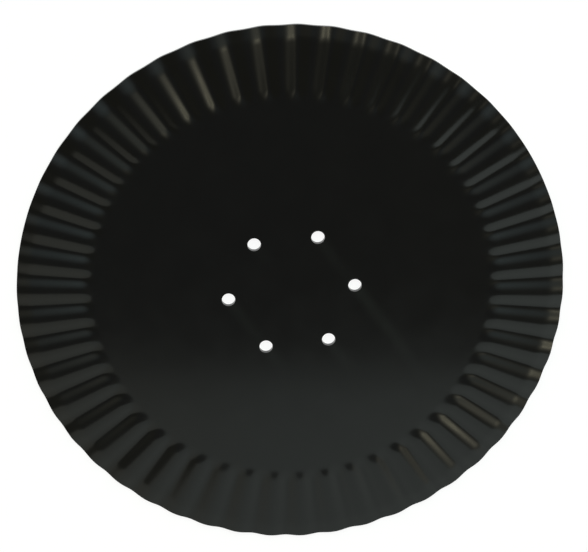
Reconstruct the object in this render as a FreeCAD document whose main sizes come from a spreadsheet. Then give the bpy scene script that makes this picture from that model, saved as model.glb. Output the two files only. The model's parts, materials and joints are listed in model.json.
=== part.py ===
# Wavy seed drill disc: one steel plate with bolt holes, pressed flutes and a ground rim.
# Lengths are in millimetres. The origin is the middle of the plate, +Z is the disc's axis towards
# the bevelled front, and +X runs through a bolt hole and along the crest of a flute.
import FreeCAD, Part
import math
import os
import Sketcher
from FreeCAD import Vector

SIZES = {
    "disc_diameter": 430,
    "plate_thickness": 4,
    "edge_thickness": 2.5,
    "bevel_width": 10.5,
    "flute_count": 50,
    "flute_rise": 1.17,
    "flute_length": 48.5,
    "nose_length": 13,
    "bolt_circle_diameter": 100,
    "bolt_hole_diameter": 10.5,
    "bolt_count": 6,
}

# Sides of the plate
FRONT = 1
BACK = -1

# Half width of the rounded strip along a crest or trough, in half pitches
ROUNDED = 0.27

# Steps across a flute's rounded end, and the length over which a slope is taken
NOSE_STEPS = 3
SLOPE_STEP = 0.01

# Volumes are compared to this share
SAME_VOLUME = 0.001


# The sheet of driving sizes
def make_sheet(doc):
    sheet = doc.addObject("Spreadsheet::Sheet", "sizes")
    for row, (alias, value) in enumerate(SIZES.items(), start=1):
        sheet.set(f"A{row}", alias)
        sheet.set(f"B{row}", str(value))
        sheet.setAlias(f"B{row}", alias)
    doc.recompute()
    return sheet


# One lobe of the wave, from its top at 0 down to nothing at 1
def lobe(distance):
    return (1 + math.cos(math.pi * min(distance, 1))) / 2


# The plate's wave. A turn is a place round the disc in half pitches: 0 is a crest and 1 the next trough.
class Wave:
    def __init__(self, sheet):
        self.rise = sheet.flute_rise
        self.nose = sheet.nose_length
        self.half_pitch = math.pi / sheet.flute_count
        self.rim = sheet.disc_diameter / 2
        self.bevel = self.rim - sheet.bevel_width
        self.full = self.rim - sheet.flute_length
        self.start = self.full - self.nose

    # Height of the plate's middle surface
    def height(self, radius, turn):
        turn = abs((turn + 1) % 2 - 1)
        inwards = max(self.full - radius, 0) / self.nose
        crest = lobe(math.hypot(turn, inwards))
        trough = lobe(math.hypot(1 - turn, inwards))
        return self.rise * (crest - trough)

    # A point that stands off the middle surface, square to it
    def point(self, radius, turn, offset):
        arc = radius * self.half_pitch
        across = SLOPE_STEP / arc
        rise_out = self.height(radius + SLOPE_STEP, turn) - self.height(radius - SLOPE_STEP, turn)
        rise_round = self.height(radius, turn + across) - self.height(radius, turn - across)
        stand_off = Vector(-rise_out, -rise_round, 2 * SLOPE_STEP).normalize() * offset
        out = radius + stand_off.x
        angle = (turn + stand_off.y / arc) * self.half_pitch
        up = self.height(radius, turn) + stand_off.z
        return Vector(out * math.cos(angle), out * math.sin(angle), up)


# One face of the plate along one flute, in four strips: crest, flank, trough and flank.
# Points of the waves beside it keep its sides smooth.
class FluteSide:
    cuts = [-ROUNDED, ROUNDED, 1 - ROUNDED, 1 + ROUNDED, 2 - ROUNDED]
    one_wave = sorted(cuts + [0, 1])
    turns = [turn - 2 for turn in one_wave[-4:-1]] + one_wave + [turn + 2 for turn in one_wave[1:4]]

    def __init__(self, wave, side, thickness):
        self.wave = wave
        self.offset = side * thickness / 2

    def points(self, radius, turns, lowered=0):
        drop = Vector(0, 0, lowered)
        return [self.wave.point(radius, turn, self.offset) - drop for turn in turns]

    # The wave line at one radius, as an edge for each strip, lowered where the rim is ground
    def edges(self, radius, lowered=0):
        curve = Part.BSplineCurve()
        curve.interpolate(self.points(radius, self.turns, lowered))
        ends = [curve.parameter(point) for point in self.points(radius, self.cuts, lowered)]
        edges = []
        for first, last in zip(ends, ends[1:]):
            strip = curve.copy()
            strip.segment(first, last)
            edges.append(strip.toShape())
        return edges

    # The flute's rounded inner end, as a surface for each strip
    def noses(self):
        radii = [self.wave.start + self.wave.nose * i / NOSE_STEPS for i in range(NOSE_STEPS + 1)]
        rows = [self.points(radius, self.turns) for radius in radii]
        surface = Part.BSplineSurface()
        surface.interpolate([list(column) for column in zip(*rows)])
        ends = [surface.parameter(point)[0] for point in self.points(self.wave.start, self.cuts)]
        inner = surface.parameter(rows[0][0])[1]
        outer = surface.parameter(rows[-1][0])[1]
        noses = []
        for first, last in zip(ends, ends[1:]):
            strip = surface.copy()
            strip.segment(first, last, inner, outer)
            noses.append(strip)
        return noses


# The edge of each nose where it meets the flat plate
def inner_edges(noses):
    return [nose.vIso(nose.bounds()[2]).toShape() for nose in noses]


# The edge of each nose where the wave reaches its full height
def outer_edges(noses):
    return [nose.vIso(nose.bounds()[3]).toShape() for nose in noses]


# Faces of straight lines between two wave lines
def ruled(first_edges, last_edges):
    return [Part.makeRuledSurface(first, last) for first, last in zip(first_edges, last_edges)]


def repeat_round(shape, count):
    copies = []
    for i in range(count):
        copy = shape.copy()
        copy.rotate(Vector(0, 0, 0), Vector(0, 0, 1), 360 * i / count)
        copies.append(copy)
    return copies


# The pressed and ground plate before its bolt holes are drilled
def make_pressed_plate(doc, sheet):
    wave = Wave(sheet)
    thickness = sheet.plate_thickness
    front = FluteSide(wave, FRONT, thickness)
    back = FluteSide(wave, BACK, thickness)
    front_noses = front.noses()
    back_noses = back.noses()
    front_bevel = front.edges(wave.bevel)
    back_bevel = back.edges(wave.bevel)
    front_rim = front.edges(wave.rim, lowered=thickness - sheet.edge_thickness)
    back_rim = back.edges(wave.rim)
    one_flute = [nose.toShape() for nose in front_noses + back_noses]
    one_flute += ruled(outer_edges(front_noses), front_bevel)
    one_flute += ruled(front_bevel, front_rim)
    one_flute += ruled(front_rim, back_rim)
    one_flute += ruled(back_rim, back_bevel)
    one_flute += ruled(back_bevel, outer_edges(back_noses))
    count = int(sheet.flute_count)
    faces = []
    for face in one_flute:
        faces += repeat_round(face, count)
    for noses in (front_noses, back_noses):
        flat_outline = repeat_round(Part.Wire(inner_edges(noses)), count)
        faces.append(Part.Face(Part.Wire(flat_outline)))
    skin = Part.Shell(faces)
    skin.sewShape()
    plate = doc.addObject("Part::Feature", "pressed_plate")
    plate.Shape = Part.Solid(Part.Shell(skin.Faces))
    return plate


def origin_plane(body, role):
    return next(feature for feature in body.Origin.OriginFeatures if feature.Role == role)


# The circle of the first bolt hole, on the plate's front face and the +X axis
def add_hole_sketch(body):
    sketch = body.newObject("Sketcher::SketchObject", "bolt_hole_circle")
    sketch.AttachmentSupport = [(origin_plane(body, "XY_Plane"), "")]
    sketch.MapMode = "FlatFace"
    sketch.setExpression(".AttachmentOffset.Base.z", "sizes.plate_thickness / 2")
    circle = sketch.addGeometry(Part.Circle(Vector(1, 0, 0), Vector(0, 0, 1), 1), False)
    sketch.addConstraint(Sketcher.Constraint("PointOnObject", circle, 3, -1))
    out = sketch.addConstraint(Sketcher.Constraint("DistanceX", -1, 1, circle, 3, 1))
    across = sketch.addConstraint(Sketcher.Constraint("Diameter", circle, 2))
    sketch.setExpression(f"Constraints[{out}]", "sizes.bolt_circle_diameter / 2")
    sketch.setExpression(f"Constraints[{across}]", "sizes.bolt_hole_diameter")
    return sketch


# The finished disc: the pressed plate with a ring of bolt holes drilled through it
def make_wavy_disc(doc, plate):
    body = doc.addObject("PartDesign::Body", "wavy_disc")
    body.Label = "wavy_disc"
    body.BaseFeature = plate
    sketch = add_hole_sketch(body)
    doc.recompute()
    hole = body.newObject("PartDesign::Hole", "bolt_hole")
    hole.Profile = sketch
    hole.Refine = False
    hole.ThreadType = "None"
    hole.DepthType = "ThroughAll"
    hole.setExpression("Diameter", "sizes.bolt_hole_diameter")
    doc.recompute()
    ring = body.newObject("PartDesign::PolarPattern", "bolt_hole_ring")
    ring.Originals = [hole]
    ring.Refine = False
    ring.Axis = (sketch, ["N_Axis"])
    ring.Angle = 360
    ring.setExpression("Occurrences", "sizes.bolt_count")
    body.Tip = ring
    body.Placement = FreeCAD.Placement()
    doc.recompute()
    return body


# The drill has to take away exactly its holes
def check_holes(sheet, plate, body):
    hole_area = math.pi * sheet.bolt_hole_diameter**2 / 4
    expected = sheet.bolt_count * hole_area * sheet.plate_thickness
    removed = plate.Shape.Volume - body.Shape.Volume
    if abs(removed - expected) > SAME_VOLUME * expected:
        raise RuntimeError(f"the bolt holes took away {removed} and not {expected} cubic mm")


def check_objects(doc, shapes):
    for item in doc.Objects:
        if "Invalid" in item.State or "Error" in item.State:
            raise RuntimeError(f"{item.Label} has failed: {item.State}")
    for item in shapes:
        if item.Shape.isNull() or not item.Shape.isValid() or len(item.Shape.Solids) != 1:
            raise RuntimeError(f"{item.Label} is not one valid solid")


def main():
    doc = FreeCAD.newDocument("wavy_seed_drill_disc")
    sheet = make_sheet(doc)
    plate = make_pressed_plate(doc, sheet)
    disc = make_wavy_disc(doc, plate)
    check_objects(doc, [plate, disc])
    check_holes(sheet, plate, disc)
    os.makedirs("parts", exist_ok=True)
    disc.Shape.exportStep(f"parts/{disc.Label}.step")
    print(disc.Label, round(disc.Shape.Volume), "cubic mm", len(disc.Shape.Faces), "faces")


main()
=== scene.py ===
# A wavy seed drill disc: one pressed steel plate in gloss black enamel, lying on a pale studio floor.
# Lengths are in metres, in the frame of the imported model: +Z out of the disc's bevelled front face.
import json
import math

import bmesh
import bpy
from bpy.props import FloatProperty, FloatVectorProperty, IntProperty, PointerProperty
from mathutils import Matrix, Quaternion, Vector


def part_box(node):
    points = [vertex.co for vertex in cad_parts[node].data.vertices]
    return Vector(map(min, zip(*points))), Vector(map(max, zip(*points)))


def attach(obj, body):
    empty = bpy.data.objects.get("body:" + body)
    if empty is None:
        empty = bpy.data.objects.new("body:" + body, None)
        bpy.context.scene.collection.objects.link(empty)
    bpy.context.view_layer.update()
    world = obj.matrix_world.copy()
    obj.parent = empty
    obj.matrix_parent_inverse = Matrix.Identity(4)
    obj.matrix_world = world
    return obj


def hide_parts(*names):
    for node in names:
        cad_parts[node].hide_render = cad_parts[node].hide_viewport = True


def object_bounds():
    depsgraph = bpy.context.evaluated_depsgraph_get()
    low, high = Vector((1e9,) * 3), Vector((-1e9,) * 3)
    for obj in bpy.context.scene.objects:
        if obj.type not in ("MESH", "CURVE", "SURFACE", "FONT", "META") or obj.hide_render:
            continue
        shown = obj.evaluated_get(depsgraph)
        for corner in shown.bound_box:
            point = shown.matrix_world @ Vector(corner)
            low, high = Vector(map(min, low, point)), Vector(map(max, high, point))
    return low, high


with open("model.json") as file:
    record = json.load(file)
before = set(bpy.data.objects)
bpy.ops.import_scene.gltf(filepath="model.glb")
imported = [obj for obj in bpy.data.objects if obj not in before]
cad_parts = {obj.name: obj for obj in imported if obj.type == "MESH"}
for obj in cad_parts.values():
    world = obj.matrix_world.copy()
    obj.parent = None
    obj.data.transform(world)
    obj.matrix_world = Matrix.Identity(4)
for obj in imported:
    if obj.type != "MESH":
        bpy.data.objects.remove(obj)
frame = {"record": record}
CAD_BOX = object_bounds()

bl_info = {
    "name": "Wavy seed drill disc",
    "version": (1, 0, 0),
    "blender": (4, 5, 0),
    "location": "3D View > Sidebar > Wavy Disc",
    "description": "Models a coulter disc with pressed flutes and lights it on a pale floor",
    "category": "Object",
}

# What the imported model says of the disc
NODE = "wavy_disc"
LOW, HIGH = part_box(NODE)
HUB_BOLTS = next(mount for mount in frame["record"]["mounts"] if mount["name"] == "hub_bolts")
PLATE_FACE = HUB_BOLTS["pos_m"][2]
MILLIMETRE = 0.001

# Mesh density: steps round one wave, and rows across a nose, the straight flutes and the bevel
STEPS_PER_WAVE = 24
NOSE_ROWS = 12
STRAIGHT_ROWS = 6
BEVEL_ROWS = 3
RUN_IN_ROWS = 6
HOLE_STEPS = 64
ROUNDING_SEGMENTS = 2

# Width of the flat ring inside the fluted band, and the length over which a slope is taken
FLAT_MARGIN = 0.001
SLOPE_STEP = 0.00001

# Edges sharper than the first are rounded, and edges flatter than the second are shaded smooth
CORNER_ANGLE = math.radians(60)
SMOOTH_ANGLE = math.radians(10)


def linear(hex_colour):
    """The linear red, green and blue of an sRGB hex value such as #0C0C0D."""
    shares = [int(hex_colour[i : i + 2], 16) / 255 for i in (1, 3, 5)]
    return [share / 12.92 if share <= 0.04045 else ((share + 0.055) / 1.055) ** 2.4 for share in shares]


def add_node(tree, kind, inputs=None, **settings):
    """Adds a node with its settings, and sets or links each input that is named."""
    node = tree.nodes.new(kind)
    for name, value in settings.items():
        setattr(node, name, value)
    for name, value in (inputs or {}).items():
        if isinstance(value, bpy.types.NodeSocket):
            tree.links.new(value, node.inputs[name])
        else:
            node.inputs[name].default_value = value
    return node


def work_out(tree, operation, *values):
    """The output of a math node."""
    return add_node(tree, "ShaderNodeMath", dict(enumerate(values)), operation=operation).outputs["Value"]


def slide(tree, value, start, end, low=0.0, high=1.0, smooth=False):
    """Goes from low to high as a value goes from start to end, and stays there beyond them."""
    kind = "SMOOTHSTEP" if smooth else "LINEAR"
    limits = {"Value": value, "From Min": start, "From Max": end, "To Min": low, "To Max": high}
    return add_node(tree, "ShaderNodeMapRange", limits, interpolation_type=kind).outputs["Result"]


def blend(tree, share, first, last):
    """Goes from one colour to another. Each is a socket or a linear colour."""
    inputs = {"Factor": share}
    for name, colour in (("A", first), ("B", last)):
        inputs[name] = colour if isinstance(colour, bpy.types.NodeSocket) else (*colour, 1)
    return add_node(tree, "ShaderNodeMix", inputs, data_type="RGBA").outputs["Result"]


def dot(tree, vector, direction):
    """The dot product of a vector socket and a fixed direction."""
    product = add_node(tree, "ShaderNodeVectorMath", {0: vector, 1: direction}, operation="DOT_PRODUCT")
    return product.outputs["Value"]


def length(name, description, default):
    """A setting in metres."""
    return FloatProperty(name=name, description=description, default=default, min=0, precision=5,
                         unit="LENGTH")


class DiscSizes(bpy.types.PropertyGroup):
    """Sizes of the pressed and ground plate"""

    disc_diameter: length("Disc diameter", "Across the rim", HIGH.x - LOW.x)
    plate_thickness: length("Plate thickness", "Of the flat middle", 2 * PLATE_FACE)
    edge_thickness: length("Edge thickness", "Of the ground rim", 0.0025)
    bevel_width: length("Bevel width", "Of the ground band inside the rim", 0.0105)
    bevel_run_in: length("Bevel run-in", "Over which the bevel's inner edge is rounded off", 0.006)
    flute_rise: length("Flute rise", "From the flat plate to a crest", HIGH.z - PLATE_FACE)
    flute_length: length("Flute length", "At full height, measured in from the rim", 0.0485)
    nose_length: length("Nose length", "Of a flute's rounded inner end", 0.013)
    crest_width: FloatProperty(name="Crest width", default=0.06, min=0, max=0.2,
                               description="How much wider a crest is than a trough, as a share of the rise")
    edge_rounding: length("Edge rounding", "Of the paint over sharp corners", 0.00025)
    flute_count: IntProperty(name="Flutes", description="Waves round the rim", default=50, min=3)
    bolt_circle: length("Bolt circle", "Across the hole centres", HUB_BOLTS["dims"]["pcd_mm"] * MILLIMETRE)
    bolt_hole: length("Bolt hole", "Diameter", 2 * HUB_BOLTS["dims"]["hole_r_mm"] * MILLIMETRE)
    bolt_count: IntProperty(name="Bolt holes", description="In the hub pattern",
                            default=HUB_BOLTS["dims"]["count"], min=1)


class EnamelLook(bpy.types.PropertyGroup):
    """Colour and surface of the paint"""

    colour: FloatVectorProperty(name="Enamel", description="Colour of the paint", subtype="COLOR",
                                default=linear("#0A0A0B"), min=0, max=1)
    roughness: FloatProperty(name="Roughness", description="Of the gloss", default=0.2, min=0, max=1)
    peel: length("Orange peel", "Width of one dimple of the sprayed paint", 0.004)
    peel_depth: length("Peel depth", "Depth of a dimple", 0.000006)
    clouding: FloatProperty(name="Clouding", description="How far the gloss varies over the plate",
                            default=0.06, min=0, max=1)
    cloud: length("Cloud", "Width of one patch of duller or wetter gloss", 0.03)
    haze: FloatVectorProperty(name="Run haze", description="Colour of the duller paint in a run",
                              subtype="COLOR", default=linear("#181A19"), min=0, max=1)
    run_width: length("Run width", "Half the width of a paint run below a bolt hole", 0.008)
    run_depth: length("Run depth", "How far a paint run stands up", 0.00002)


class StageLook(bpy.types.PropertyGroup):
    """Floor, light and camera"""

    floor: FloatVectorProperty(name="Floor", description="Colour of the floor", subtype="COLOR",
                               default=linear("#F4F4F2"), min=0, max=1)
    camera_azimuth: FloatProperty(name="Azimuth", description="Of the camera, from +X",
                                  default=math.radians(91.890), subtype="ANGLE")
    camera_elevation: FloatProperty(name="Elevation", description="Of the camera above the disc",
                                    default=math.radians(68.941), subtype="ANGLE")
    camera_roll: FloatProperty(name="Roll", description="Turn of the camera on its own axis",
                               default=math.radians(171.710), subtype="ANGLE")
    camera_distance: length("Distance", "From the camera to the aim point", 1.6244)
    camera_aim: FloatVectorProperty(name="Aim", description="Point of the disc in the middle of the view",
                                    default=(0.00319, 0.01289, 0), subtype="TRANSLATION")
    focal_length: FloatProperty(name="Focal length", description="Of a 36 mm wide camera",
                                default=126.71, min=1, unit="CAMERA")


class Wave:
    """The plate's wave. A turn is a place round the disc in half pitches: 0 is a crest and 1 a trough."""

    def __init__(self, sizes):
        self.rise = sizes.flute_rise
        self.nose = sizes.nose_length
        self.widening = sizes.crest_width
        self.half_pitch = math.pi / sizes.flute_count
        self.full = sizes.disc_diameter / 2 - sizes.flute_length
        self.start = self.full - self.nose

    @staticmethod
    def lobe(distance):
        """One lobe of the wave, from its top at 0 down to nothing at 1."""
        return (1 + math.cos(math.pi * min(distance, 1))) / 2

    def height(self, radius, turn):
        """Height of the plate's middle surface."""
        turn = abs((turn + 1) % 2 - 1)
        inwards = max(self.full - radius, 0) / self.nose
        crest = self.lobe(math.hypot(turn, inwards))
        trough = self.lobe(math.hypot(1 - turn, inwards))
        widened = 2 * self.widening * self.lobe(inwards) * math.sin(math.pi * turn) ** 2
        return self.rise * (crest - trough + widened)

    def press(self, point):
        """Where a point of the flat blank goes when the flutes are pressed."""
        radius = math.hypot(point.x, point.y)
        if radius < self.start:
            return point
        turn = math.atan2(point.y, point.x) / self.half_pitch
        arc = radius * self.half_pitch
        across = SLOPE_STEP / arc
        rise_out = self.height(radius + SLOPE_STEP, turn) - self.height(radius - SLOPE_STEP, turn)
        rise_round = self.height(radius, turn + across) - self.height(radius, turn - across)
        stand_off = Vector((-rise_out, -rise_round, 2 * SLOPE_STEP)).normalized() * point.z
        out = radius + stand_off.x
        angle = (turn + stand_off.y / arc) * self.half_pitch
        return Vector((out * math.cos(angle), out * math.sin(angle), self.height(radius, turn) + stand_off.z))


def front_line(sizes):
    """Points along the front of the blank's section: the flat, a rounded run-in and the straight bevel."""
    rim = sizes.disc_diameter / 2
    face = sizes.plate_thickness / 2
    bevel = rim - sizes.bevel_width
    slope = (sizes.plate_thickness - sizes.edge_thickness) / sizes.bevel_width
    inner = bevel - sizes.bevel_run_in / 2
    points = []
    for i in range(RUN_IN_ROWS + 1):
        along = sizes.bevel_run_in * i / RUN_IN_ROWS
        points.append((inner + along, face - slope * along**2 / (2 * sizes.bevel_run_in)))
    return points + [(rim, face - slope * sizes.bevel_width)]


def spin_rim(bm, sizes):
    """The fluted band before pressing, spun from half the section of a flat blank with a ground rim."""
    rim = sizes.disc_diameter / 2
    full = rim - sizes.flute_length
    start = full - sizes.nose_length
    face = sizes.plate_thickness / 2
    section = [(start - FLAT_MARGIN, face), (start, face), (full, face), *front_line(sizes),
               (rim, -face), (full, -face), (start, -face), (start - FLAT_MARGIN, -face)]
    front_rows = [1, NOSE_ROWS, STRAIGHT_ROWS, *[1] * RUN_IN_ROWS, BEVEL_ROWS]
    rows = front_rows + [1, BEVEL_ROWS + STRAIGHT_ROWS, NOSE_ROWS, 1]
    corners = [bm.verts.new((out, 0, up)) for out, up in section]
    edges = [bm.edges.new(ends) for ends in zip(corners, corners[1:])]
    for edge, row_count in zip(edges, rows, strict=True):
        if row_count > 1:
            bmesh.ops.subdivide_edges(bm, edges=[edge], cuts=row_count - 1)
    bmesh.ops.spin(bm, geom=bm.verts[:] + bm.edges[:], cent=(0, 0, 0), axis=(0, 0, 1), dvec=(0, 0, 0),
                   angle=2 * math.pi, steps=sizes.flute_count * STEPS_PER_WAVE, use_merge=True)


def close_middle(bm, sizes):
    """The flat middle, with the walls of its bolt holes."""
    for i in range(sizes.bolt_count):
        turn = Matrix.Rotation(2 * math.pi * i / sizes.bolt_count, 4, "Z")
        place = turn @ Matrix.Translation((sizes.bolt_circle / 2, 0, 0))
        bmesh.ops.create_cone(bm, segments=HOLE_STEPS, radius1=sizes.bolt_hole / 2,
                              radius2=sizes.bolt_hole / 2, depth=sizes.plate_thickness, matrix=place)
    for side in (1, -1):
        open_edges = [edge for edge in bm.edges
                      if edge.is_boundary and all(side * vert.co.z > 0 for vert in edge.verts)]
        bmesh.ops.triangle_fill(bm, edges=open_edges, use_beauty=True, normal=(0, 0, side))
    bmesh.ops.recalc_face_normals(bm, faces=bm.faces)


def round_corners(bm, sizes):
    """Rounds the rim's corners and the mouths of the bolt holes, where paint covers them."""
    corners = [edge for edge in bm.edges if edge.calc_face_angle(0) > CORNER_ANGLE]
    bmesh.ops.bevel(bm, geom=corners, offset=sizes.edge_rounding, offset_type="OFFSET",
                    segments=ROUNDING_SEGMENTS, profile=0.5, affect="EDGES", clamp_overlap=True, material=-1)


# The way that all the paint runs went, and for each the turn of the bolt hole that it drips from in degrees,
# its length and its strength
RUN_WAY = math.radians(-60)
RUNS = [(0, 0.115, 1.0), (60, 0.055, 0.6), (120, 0.035, 0.25),
        (180, 0.06, 0.8), (240, 0.03, 0.8), (300, 0.035, 0.9)]

# The values that a noise texture mostly keeps between
NOISE_SPAN = (0.3, 0.7)


def paint_run(tree, place, hole, run_length, strength, width):
    """A soft ridge, from 0 to the run's strength, that starts at a bolt hole and fades along its run."""
    along = Vector((math.cos(RUN_WAY), math.sin(RUN_WAY), 0))
    across = Vector((-along.y, along.x, 0)) / width
    from_hole = add_node(tree, "ShaderNodeVectorMath", {0: place, 1: hole}, operation="SUBTRACT")
    down = dot(tree, from_hole.outputs["Vector"], along)
    beside = work_out(tree, "ABSOLUTE", dot(tree, from_hole.outputs["Vector"], across))
    ridge = slide(tree, beside, 1.0, 0.0, high=strength, smooth=True)
    begun = slide(tree, down, 0.0, width, smooth=True)
    left = slide(tree, down, run_length, 0.0)
    return work_out(tree, "MULTIPLY", ridge, work_out(tree, "MULTIPLY", begun, left))


def enamel(look, sizes):
    """Gloss black enamel, sprayed on steel: near black and wet, with orange peel, clouds and a few runs."""
    material = bpy.data.materials.new("Gloss black enamel on pressed steel")
    material.use_nodes = True
    tree = material.node_tree
    shader = tree.nodes["Principled BSDF"]
    place = add_node(tree, "ShaderNodeTexCoord").outputs["Object"]
    runs = 0.0
    for turn, run_length, strength in RUNS:
        angle = math.radians(turn)
        hole = Vector((math.cos(angle), math.sin(angle), 0)) * sizes.bolt_circle / 2
        run = paint_run(tree, place, hole, run_length, strength, look.run_width)
        runs = work_out(tree, "MAXIMUM", run, runs)
    peel = add_node(tree, "ShaderNodeTexNoise", {"Vector": place, "Scale": 1 / look.peel, "Detail": 2.0})
    dimples = work_out(tree, "MULTIPLY", peel.outputs["Fac"], look.peel_depth)
    height = work_out(tree, "MULTIPLY_ADD", runs, look.run_depth, dimples)
    bump = add_node(tree, "ShaderNodeBump", {"Height": height, "Strength": 1.0, "Distance": 1.0})
    clouds = add_node(tree, "ShaderNodeTexNoise", {"Vector": place, "Scale": 1 / look.cloud, "Detail": 3.0})
    wettest = look.roughness - look.clouding / 2
    gloss = slide(tree, clouds.outputs["Fac"], *NOISE_SPAN, wettest, wettest + look.clouding)
    shader.inputs["IOR"].default_value = 1.5
    tree.links.new(blend(tree, runs, look.colour, look.haze), shader.inputs["Base Color"])
    tree.links.new(gloss, shader.inputs["Roughness"])
    tree.links.new(bump.outputs["Normal"], shader.inputs["Normal"])
    return material


class WAVYDISC_OT_plate(bpy.types.Operator):
    """Models the disc: a flat blank with a ground rim and bolt holes, pressed into flutes"""

    bl_idname = "wavydisc.plate"
    bl_label = "Make Plate"

    def execute(self, context):
        sizes = context.scene.disc_sizes
        bm = bmesh.new()
        spin_rim(bm, sizes)
        close_middle(bm, sizes)
        round_corners(bm, sizes)
        wave = Wave(sizes)
        for vert in bm.verts:
            vert.co = wave.press(vert.co)
        for edge in bm.edges:
            edge.smooth = edge.calc_face_angle(0) < SMOOTH_ANGLE
        for face in bm.faces:
            face.smooth = True
        mesh = bpy.data.meshes.new("pressed_plate")
        bm.to_mesh(mesh)
        bm.free()
        plate = bpy.data.objects.new("pressed_plate", mesh)
        context.collection.objects.link(plate)
        mesh.materials.append(enamel(context.scene.enamel_look, sizes))
        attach(plate, "root")
        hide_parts(NODE)
        return {"FINISHED"}


# The room is turned from the disc's axes by this much
ROOM_TURN = math.radians(6.4)

# The sky that the gloss mirrors, from the near end of the room, 0, to the far one, 1
SKY = [(0.0, 0.121), (0.49, 0.121), (0.675, 0.57), (0.70, 0.75), (0.75, 2.3), (0.93, 2.3), (0.965, 0.35),
       (1.0, 0.25)]

# The sky is pale down the middle of the room and grows warm to its sides, over this range of X. It turns cool
# where it is both far off, over the next range of Y, and not to the left, over the last range of X.
SKY_PALE = "#FFFFF9"
SKY_WARM = "#FFFDE0"
SKY_COOL = "#E6FBFA"
WARM_SIDES = (0.0, 0.4)
COOL_FAR = (-0.1, 0.25)
COOL_RIGHT = (-0.35, -0.1)

# The small warm lamp far off to the right: its direction, half its spread in radians, and its brightness
LAMP_PLACE = Vector((0.545, -0.006, 0.838)).normalized()
LAMP_SPREAD = 0.05
LAMP_DISTANCE = 20.0
LAMP_LEVEL = 3.8
LAMP_COLOUR = "#FFF8D2"

# The glow beside the lamp: its middle, half width in radians, how fast it falls off, and its brightness
GLOW_PLACE = Vector((0.505, -0.038, 0.862)).normalized()
GLOW_WIDTH = 0.19
GLOW_FALL = 2.6
GLOW_LEVEL = 1.1
GLOW_COLOUR = "#FFFAE0"

# The pale card that stands across the near side of the room: its line, its ends and its top
CARD_LINE = -0.27
CARD_ENDS = (-0.46, 1.4)
CARD_TOP = 0.468

# The card's brightness in its middle, what it gains for each metre to the right and for each square metre to
# both sides, and how much more it has at its foot than from the lit height upwards
CARD_LEVEL = 0.575
CARD_LEAN = 0.33
CARD_BOW = 0.6
CARD_FOOT = 0.12
CARD_LIT_HEIGHT = 0.3

# The card fades towards its left end, over this length and down to this share, and grows warmer
CARD_FADE = 0.14
CARD_END_SHARE = 0.25
CARD_PALE = "#F4FFF8"
CARD_WARM = "#FFFCE6"

# Half the floor's width, its brightness to the camera and in reflections, and the share of what is seen that
# this makes up. The rest takes the shadow.
FLOOR_REACH = 6
FLOOR_WHITE = 1.12
FLOOR_WHITE_SHARE = 0.8


def to_room(vector):
    """Turns a direction or a place in the room into the frame of the disc."""
    turned = vector.copy()
    turned.rotate(Quaternion((0, 0, 1), -ROOM_TURN))
    return turned


def sky_level(tree, along_room):
    """The sky's brightness from the near end of the room to the far one."""
    node = add_node(tree, "ShaderNodeFloatCurve", {"Value": slide(tree, along_room, -1.0, 1.0)})
    top = max(level for place, level in SKY)
    curve = node.mapping.curves[0]
    for place, level in SKY[1:-1]:
        curve.points.new(place, level / top)
    for point, (place, level) in zip(curve.points, SKY):
        point.location = (place, level / top)
        point.handle_type = "VECTOR"
    node.mapping.update()
    return work_out(tree, "MULTIPLY", node.outputs["Value"], top)


def sky_tint(tree, across_room, along_room):
    """The sky's colour: pale in the middle, warm at the sides and cool far off."""
    aside = slide(tree, work_out(tree, "ABSOLUTE", across_room), *WARM_SIDES)
    warm = blend(tree, aside, linear(SKY_PALE), linear(SKY_WARM))
    far = slide(tree, along_room, *COOL_FAR)
    cool = work_out(tree, "MULTIPLY", far, slide(tree, across_room, *COOL_RIGHT))
    return blend(tree, cool, warm, linear(SKY_COOL))


def glow_level(tree, direction):
    """The brightness of the soft glow beside the lamp."""
    spread = 2 / GLOW_WIDTH**2
    away = work_out(tree, "MULTIPLY_ADD", dot(tree, direction, to_room(GLOW_PLACE)), -spread, 1 + spread)
    return work_out(tree, "MULTIPLY", work_out(tree, "POWER", away, -GLOW_FALL), GLOW_LEVEL)


def light_room(world):
    """A soft room light for everything but the camera, which sees plain white."""
    world.use_nodes = True
    tree = world.node_tree
    tree.nodes.clear()
    direction = add_node(tree, "ShaderNodeTexCoord").outputs["Generated"]
    turned = add_node(tree, "ShaderNodeVectorRotate", {"Vector": direction, "Angle": ROOM_TURN},
                      rotation_type="Z_AXIS")
    room = add_node(tree, "ShaderNodeSeparateXYZ", {"Vector": turned.outputs["Vector"]}).outputs
    sky = add_node(tree, "ShaderNodeBackground", {"Color": sky_tint(tree, room["X"], room["Y"]),
                                                  "Strength": sky_level(tree, room["Y"])})
    glow = add_node(tree, "ShaderNodeBackground", {"Color": (*linear(GLOW_COLOUR), 1),
                                                   "Strength": glow_level(tree, direction)})
    lit = add_node(tree, "ShaderNodeAddShader", {0: sky.outputs[0], 1: glow.outputs[0]})
    seen = add_node(tree, "ShaderNodeBackground", {"Color": (1, 1, 1, 1), "Strength": 1.0})
    rays = add_node(tree, "ShaderNodeLightPath")
    mix = add_node(tree, "ShaderNodeMixShader", {0: rays.outputs["Is Camera Ray"], 1: lit.outputs[0],
                                                 2: seen.outputs[0]})
    add_node(tree, "ShaderNodeOutputWorld", {"Surface": mix.outputs[0]})


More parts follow.
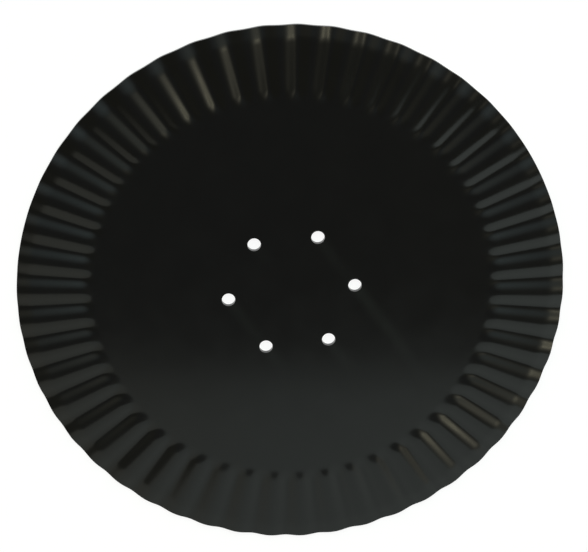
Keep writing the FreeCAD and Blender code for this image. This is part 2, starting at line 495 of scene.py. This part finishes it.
def card_finish():
    """A lit pale card, brighter to the right and towards its foot, that fades out warm at its left end."""
    material = bpy.data.materials.new("Lit pale card")
    material.use_nodes = True
    tree = material.node_tree
    tree.nodes.clear()
    place = add_node(tree, "ShaderNodeTexCoord").outputs["Object"]
    place = add_node(tree, "ShaderNodeSeparateXYZ", {"Vector": place}).outputs
    left = CARD_ENDS[0]
    gain = work_out(tree, "MULTIPLY_ADD", place["X"], CARD_BOW, CARD_LEAN)
    level = work_out(tree, "MULTIPLY_ADD", place["X"], gain, CARD_LEVEL)
    foot = slide(tree, place["Z"], 0.0, CARD_LIT_HEIGHT, low=1 + CARD_FOOT)
    fade = slide(tree, place["X"], left, left + CARD_FADE, low=CARD_END_SHARE, smooth=True)
    level = work_out(tree, "MULTIPLY", work_out(tree, "MULTIPLY", level, foot), fade)
    tint = blend(tree, slide(tree, place["X"], left, 0.0), linear(CARD_WARM), linear(CARD_PALE))
    lit = add_node(tree, "ShaderNodeEmission", {"Color": tint, "Strength": level})
    add_node(tree, "ShaderNodeOutputMaterial", {"Surface": lit.outputs[0]})
    return material


def floor_finish(look):
    """Matt pale floor, white to the camera and in reflections, that keeps a faint shadow."""
    material = bpy.data.materials.new("Pale studio floor")
    material.use_nodes = True
    tree = material.node_tree
    tree.nodes.clear()
    matt = add_node(tree, "ShaderNodeBsdfDiffuse", {"Color": (*look.floor, 1)})
    white = add_node(tree, "ShaderNodeEmission", {"Color": (1, 1, 1, 1), "Strength": FLOOR_WHITE})
    rays = add_node(tree, "ShaderNodeLightPath").outputs
    seen = work_out(tree, "MAXIMUM", rays["Is Camera Ray"], rays["Is Glossy Ray"])
    seen = work_out(tree, "MAXIMUM", seen, rays["Is Transmission Ray"])
    share = work_out(tree, "MULTIPLY", seen, FLOOR_WHITE_SHARE)
    mix = add_node(tree, "ShaderNodeMixShader", {0: share, 1: matt.outputs[0], 2: white.outputs[0]})
    add_node(tree, "ShaderNodeOutputMaterial", {"Surface": mix.outputs[0]})
    return material


class WAVYDISC_OT_stage(bpy.types.Operator):
    """Sets the floor, the light and the camera"""

    bl_idname = "wavydisc.stage"
    bl_label = "Set Stage"

    def execute(self, context):
        look = context.scene.stage_look
        bm = bmesh.new()
        bmesh.ops.create_grid(bm, x_segments=1, y_segments=1, size=FLOOR_REACH,
                              matrix=Matrix.Translation((0, 0, CAD_BOX[0].z)))
        mesh = bpy.data.meshes.new("floor")
        bm.to_mesh(mesh)
        bm.free()
        floor = bpy.data.objects.new("floor", mesh)
        context.collection.objects.link(floor)
        mesh.materials.append(floor_finish(look))
        context.scene.world = bpy.data.worlds.new("Studio room")
        light_room(context.scene.world)
        self.add_card(context)
        self.add_lamp(context)
        self.add_camera(context, look)
        return {"FINISHED"}

    def add_card(self, context):
        """The pale card that only the gloss sees."""
        mesh = bpy.data.meshes.new("card")
        left, right = CARD_ENDS
        corners = [(right, 0, 0), (left, 0, 0), (left, 0, CARD_TOP), (right, 0, CARD_TOP)]
        mesh.from_pydata(corners, [], [(0, 1, 2, 3)])
        mesh.materials.append(card_finish())
        card = bpy.data.objects.new("card", mesh)
        card.location = to_room(Vector((0, CARD_LINE, CAD_BOX[0].z)))
        card.rotation_euler.z = -ROOM_TURN
        card.visible_camera = card.visible_diffuse = card.visible_shadow = False
        context.collection.objects.link(card)

    def add_lamp(self, context):
        """The lamp whose glint runs along the flutes."""
        light = bpy.data.lights.new("lamp", "AREA")
        light.shape = "DISK"
        light.size = 2 * LAMP_SPREAD * LAMP_DISTANCE
        light.energy = LAMP_LEVEL * math.pi * math.pi * light.size**2 / 4
        light.color = linear(LAMP_COLOUR)
        lamp = bpy.data.objects.new("lamp", light)
        lamp.location = to_room(LAMP_PLACE) * LAMP_DISTANCE
        lamp.rotation_euler = to_room(LAMP_PLACE).to_track_quat("Z", "Y").to_euler()
        lamp.visible_camera = False
        context.collection.objects.link(lamp)

    def add_camera(self, context, look):
        camera = bpy.data.cameras.new("camera")
        camera.sensor_fit = "HORIZONTAL"
        camera.sensor_width = 36
        camera.lens = look.focal_length
        holder = bpy.data.objects.new("camera", camera)
        back = Vector((math.cos(look.camera_elevation) * math.cos(look.camera_azimuth),
                       math.cos(look.camera_elevation) * math.sin(look.camera_azimuth),
                       math.sin(look.camera_elevation)))
        holder.location = Vector(look.camera_aim) + back * look.camera_distance
        turn = back.to_track_quat("Z", "Y") @ Quaternion((0, 0, 1), look.camera_roll)
        holder.rotation_euler = turn.to_euler()
        context.collection.objects.link(holder)
        context.scene.camera = holder


class WAVYDISC_PT_panel(bpy.types.Panel):
    """Lists the steps and their sizes"""

    bl_idname = "WAVYDISC_PT_panel"
    bl_label = "Wavy Disc"
    bl_space_type = "VIEW_3D"
    bl_region_type = "UI"
    bl_category = "Wavy Disc"

    def draw(self, context):
        for settings in (context.scene.disc_sizes, context.scene.enamel_look, context.scene.stage_look):
            column = self.layout.column(align=True)
            for name in settings.__annotations__:
                column.prop(settings, name)
        for operator in (WAVYDISC_OT_plate, WAVYDISC_OT_stage):
            self.layout.operator(operator.bl_idname)


CLASSES = (DiscSizes, EnamelLook, StageLook, WAVYDISC_OT_plate, WAVYDISC_OT_stage, WAVYDISC_PT_panel)


def register():
    for cls in CLASSES:
        bpy.utils.register_class(cls)
    bpy.types.Scene.disc_sizes = PointerProperty(type=DiscSizes)
    bpy.types.Scene.enamel_look = PointerProperty(type=EnamelLook)
    bpy.types.Scene.stage_look = PointerProperty(type=StageLook)


def unregister():
    del bpy.types.Scene.stage_look
    del bpy.types.Scene.enamel_look
    del bpy.types.Scene.disc_sizes
    for cls in reversed(CLASSES):
        bpy.utils.unregister_class(cls)


def main():
    register()
    bpy.context.scene.view_settings.view_transform = "Standard"
    bpy.ops.wavydisc.plate()
    bpy.ops.wavydisc.stage()


if __name__ == "__main__":
    main()
